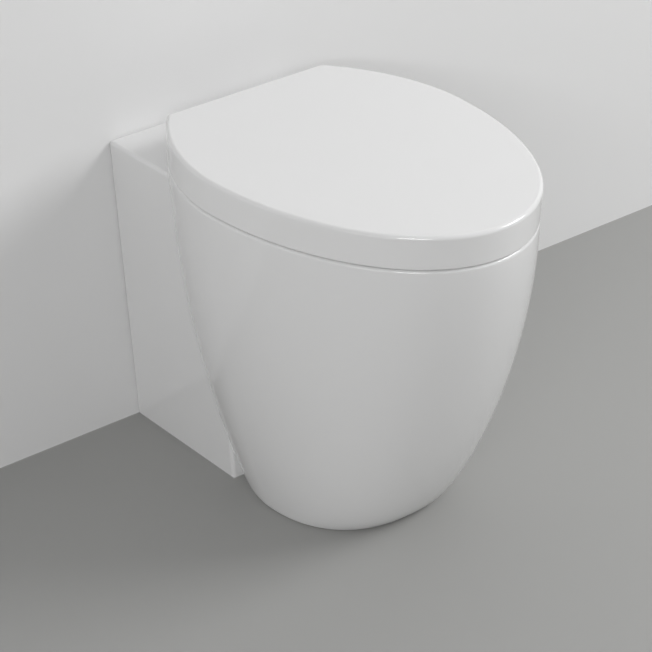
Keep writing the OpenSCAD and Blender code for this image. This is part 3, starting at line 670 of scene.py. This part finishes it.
def paint(obj, *materials):
    """Gives the object these materials in place of its own."""
    obj.data.materials.clear()
    for m in materials:
        obj.data.materials.append(m)


paint(pan, GLAZE, BISQUE)
# The faces that skirt_inner and block_inner leave; they are the second and third steps of make_pan.
UNGLAZED = (2, 3)
for polygon, group in zip(pan.data.polygons, pan_groups):
    polygon.material_index = 1 if group in UNGLAZED else 0
paint(cover, SEAT)
paint(seat_ring, SEAT)

WELD_GAP, SOFT_EDGE, BEVEL_STEPS, BEVEL_ANGLE = 1e-6, 0.0004, 2, 40

for part in frame["record"]["subparts"]:
    node = frame["nodes"][part["node"]]
    finish = BY_SLOT[part["material_slot"]]
    if not node.material_slots:
        node.data.materials.append(finish)
    for holder in node.material_slots:
        holder.material = finish
    if node.hide_render:
        continue
    weld = node.modifiers.new("weld", "WELD")
    weld.merge_threshold = WELD_GAP
    bevel = node.modifiers.new("soft_edges", "BEVEL")
    bevel.width, bevel.segments = SOFT_EDGE, BEVEL_STEPS
    bevel.limit_method = "ANGLE"
    bevel.angle_limit = math.radians(BEVEL_ANGLE)
    bevel.harden_normals = True

# ---- Floor, wall, light and camera ----


def stage_plane(name, corners, color, roughness):
    """A plain sheet that shows from its front only, so that views from behind it stay clear."""
    mesh = bpy.data.meshes.new(name)
    mesh.from_pydata(corners, [], [tuple(range(len(corners)))])
    obj = bpy.data.objects.new(name, mesh)
    bpy.context.scene.collection.objects.link(obj)
    m = bpy.data.materials.new(name)
    m.use_nodes = True
    nodes, links = m.node_tree.nodes, m.node_tree.links
    shader = nodes["Principled BSDF"]
    shader.inputs["Base Color"].default_value = (*color, 1)
    shader.inputs["Roughness"].default_value = roughness
    clear = nodes.new("ShaderNodeBsdfTransparent")
    mix = nodes.new("ShaderNodeMixShader")
    side = nodes.new("ShaderNodeNewGeometry")
    links.new(side.outputs["Backfacing"], mix.inputs["Fac"])
    links.new(shader.outputs["BSDF"], mix.inputs[1])
    links.new(clear.outputs["BSDF"], mix.inputs[2])
    links.new(mix.outputs["Shader"], nodes["Material Output"].inputs["Surface"])
    obj.data.materials.append(m)
    return obj


STAGE, STAGE_H, FLOOR_Z, WALL_BEHIND = 8, 6, -0.0005, 0.0006
OPEN_INSET = 1
WALL = WALL_Y * MM + WALL_BEHIND


def stage_outlines():
    """Floor and wall, open where the pan stands, so that views from behind and below have light there."""
    foot_x = (BLOCK_FOOT_W / 2 - OPEN_INSET) * MM
    top_x = (BLOCK_TOP_W / 2 - OPEN_INSET) * MM
    top_z = (BLOCK_H - OPEN_INSET) * MM
    block_front = WALL_Y - BLOCK_DEPTH + OPEN_INSET
    egg_foot = skirt_plan(0, FOOT_EDGE + OPEN_INSET)
    right = [tuple(p * MM) for p in egg_foot[:len(egg_foot) // 2 + 1] if p[1] < block_front]
    back_r = BLOCK_BACK_EDGE * MM
    side = [(foot_x - back_r, WALL), (foot_x, WALL - back_r), (foot_x, block_front * MM)] + right[:0:-1]
    foot = side + [right[0]] + [(-x, y) for x, y in side[::-1]]
    ground = [(STAGE, WALL)] + foot + [(-STAGE, WALL), (-STAGE, -STAGE), (STAGE, -STAGE)]
    foot_in, top_in = foot_x - back_r, top_x - back_r
    opening = [(-foot_in, 0), (-top_in, top_z - back_r), (top_in, top_z - back_r), (foot_in, 0)]
    back = [(-STAGE, 0)] + opening + [(STAGE, 0), (STAGE, STAGE_H), (-STAGE, STAGE_H)]
    return [(x, y, FLOOR_Z) for x, y in ground], [(x, WALL, z) for x, z in back]


FLOOR_COLOR, FLOOR_ROUGHNESS = (0.355, 0.355, 0.347), 0.6
WALL_COLOR, WALL_ROUGHNESS = (0.78, 0.78, 0.78), 0.8
ground, back = stage_outlines()
stage_plane("floor", ground, FLOOR_COLOR, FLOOR_ROUGHNESS)
wall = stage_plane("wall", back, WALL_COLOR, WALL_ROUGHNESS)
wall.visible_shadow = False

world = bpy.data.worlds.new("studio")
bpy.context.scene.world = world
world.use_nodes = True
WORLD_COLOR, WORLD_STRENGTH = (0.9, 0.9, 0.9, 1), 0.46
background = world.node_tree.nodes["Background"]
background.inputs["Color"].default_value = WORLD_COLOR
background.inputs["Strength"].default_value = WORLD_STRENGTH

LAMP_TARGET = (0, 0, 0.25)
FILL_PLACE, FILL_SIZE = (-2.1, -2.2, 1.65), (1.1, 0.15)


def lamp(name, place, size, power):
    """A soft rectangular lamp that points at the middle of the pan; its power is in watts."""
    light = bpy.data.lights.new(name, "AREA")
    light.shape = "RECTANGLE"
    light.size, light.size_y = size
    light.energy = power
    obj = bpy.data.objects.new(name, light)
    bpy.context.scene.collection.objects.link(obj)
    obj.location = place
    obj.rotation_mode = "QUATERNION"
    obj.rotation_quaternion = (Vector(LAMP_TARGET) - Vector(place)).to_track_quat("-Z", "Y")
    return obj


lamp("key", (2.25, -1.5, 2.2), (1.5, 1.1), 59)
lamp("fill", FILL_PLACE, FILL_SIZE, 18)
lamp("side", (-2.4, -1.0, 0.7), (1.0, 1.0), 5)
# This lamp shows in the gloss alone, for the streaks of light on the front edges.
glint = lamp("glint", FILL_PLACE, FILL_SIZE, 45)
glint.visible_diffuse = False

YAW, PITCH, FOCAL_PX, IMAGE_PX, SENSOR_W = math.radians(39.104), math.radians(29.522), 2581.6, 652, 36
CAMERA_PLACE = (-1717.9, -2079.9, 1737.5)
camera = bpy.data.objects.new("camera", bpy.data.cameras.new("camera"))
bpy.context.scene.collection.objects.link(camera)
camera.data.sensor_width = SENSOR_W
camera.data.lens = FOCAL_PX / IMAGE_PX * SENSOR_W
camera.location = Vector(CAMERA_PLACE) * MM
camera.rotation_mode = "QUATERNION"
forward = Vector((math.sin(YAW) * math.cos(PITCH), math.cos(YAW) * math.cos(PITCH), -math.sin(PITCH)))
camera.rotation_quaternion = forward.to_track_quat("-Z", "Y")
bpy.context.scene.camera = camera
bpy.context.scene.view_settings.view_transform = "Standard"
